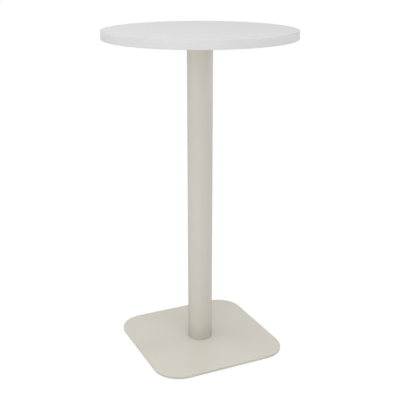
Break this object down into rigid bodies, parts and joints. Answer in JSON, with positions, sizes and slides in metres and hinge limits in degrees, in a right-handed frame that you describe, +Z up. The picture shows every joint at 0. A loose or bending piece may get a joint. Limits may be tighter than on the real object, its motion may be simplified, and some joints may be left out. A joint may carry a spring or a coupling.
{
  "type": "standing meeting table",
  "caption": "Standing-height table with a round edge-banded top on a round steel column and a square plate with round corners, for short meetings on foot.",
  "frame": {"origin": "on the floor, at the middle of the four feet, under the axis of the column", "axes": "+Z up along the column, X and Y along the sides of the base plate"},
  "size_m": [0.6, 0.6, 1.05],
  "materials": {
    "top_face": "matte",
    "edge_plastic": "satin",
    "powder_coat": "matte",
    "zinc_steel": "satin",
    "foot_nylon": "matte"
  },
  "bodies": {
    "table": {"top_board": "top_face", "edge_band": "edge_plastic", "column_tube": "powder_coat", "column_head_disc": "powder_coat", "column_foot_disc": "powder_coat", "base_plate": "powder_coat", "top_spider": "powder_coat", "base_bolt_1": "zinc_steel", "base_bolt_2": "zinc_steel", "base_bolt_3": "zinc_steel", "base_bolt_4": "zinc_steel", "spider_bolt_1": "zinc_steel", "spider_bolt_2": "zinc_steel", "spider_bolt_3": "zinc_steel", "spider_bolt_4": "zinc_steel", "top_screw_1": "zinc_steel", "top_screw_2": "zinc_steel", "top_screw_3": "zinc_steel", "top_screw_4": "zinc_steel", "top_screw_5": "zinc_steel", "top_screw_6": "zinc_steel", "top_screw_7": "zinc_steel", "top_screw_8": "zinc_steel", "top_insert_1": "zinc_steel", "top_insert_2": "zinc_steel", "top_insert_3": "zinc_steel", "top_insert_4": "zinc_steel", "top_insert_5": "zinc_steel", "top_insert_6": "zinc_steel", "top_insert_7": "zinc_steel", "top_insert_8": "zinc_steel"},
    "foot_1_pad": {"foot_pad_1": "foot_nylon"},
    "foot_1_stud": {"foot_stud_1": "zinc_steel"},
    "foot_2_pad": {"foot_pad_2": "foot_nylon"},
    "foot_2_stud": {"foot_stud_2": "zinc_steel"},
    "foot_3_pad": {"foot_pad_3": "foot_nylon"},
    "foot_3_stud": {"foot_stud_3": "zinc_steel"},
    "foot_4_pad": {"foot_pad_4": "foot_nylon"},
    "foot_4_stud": {"foot_stud_4": "zinc_steel"}
  },
  "joints": [
    {"name": "foot_1_lift", "type": "slide", "parent": "table", "child": "foot_1_pad", "axis": [0, 0, -1], "range_m": [0, 0.003]},
    {"name": "foot_1_turn", "type": "hinge", "parent": "foot_1_pad", "child": "foot_1_stud", "pos_m": [0.16446, 0.16446, 0], "axis": [0, 0, -1], "range_deg": [0, 864]},
    {"name": "foot_2_lift", "type": "slide", "parent": "table", "child": "foot_2_pad", "axis": [0, 0, -1], "range_m": [0, 0.003]},
    {"name": "foot_2_turn", "type": "hinge", "parent": "foot_2_pad", "child": "foot_2_stud", "pos_m": [-0.16446, 0.16446, 0], "axis": [0, 0, -1], "range_deg": [0, 864]},
    {"name": "foot_3_lift", "type": "slide", "parent": "table", "child": "foot_3_pad", "axis": [0, 0, -1], "range_m": [0, 0.003]},
    {"name": "foot_3_turn", "type": "hinge", "parent": "foot_3_pad", "child": "foot_3_stud", "pos_m": [-0.16446, -0.16446, 0], "axis": [0, 0, -1], "range_deg": [0, 864]},
    {"name": "foot_4_lift", "type": "slide", "parent": "table", "child": "foot_4_pad", "axis": [0, 0, -1], "range_m": [0, 0.003]},
    {"name": "foot_4_turn", "type": "hinge", "parent": "foot_4_pad", "child": "foot_4_stud", "pos_m": [0.16446, -0.16446, 0], "axis": [0, 0, -1], "range_deg": [0, 864]}
  ],
  "couplings": [
    {"joint": "foot_1_lift", "follows": "foot_1_turn", "m_per_rad": 0.00019894},
    {"joint": "foot_2_lift", "follows": "foot_2_turn", "m_per_rad": 0.00019894},
    {"joint": "foot_3_lift", "follows": "foot_3_turn", "m_per_rad": 0.00019894},
    {"joint": "foot_4_lift", "follows": "foot_4_turn", "m_per_rad": 0.00019894}
  ]
}
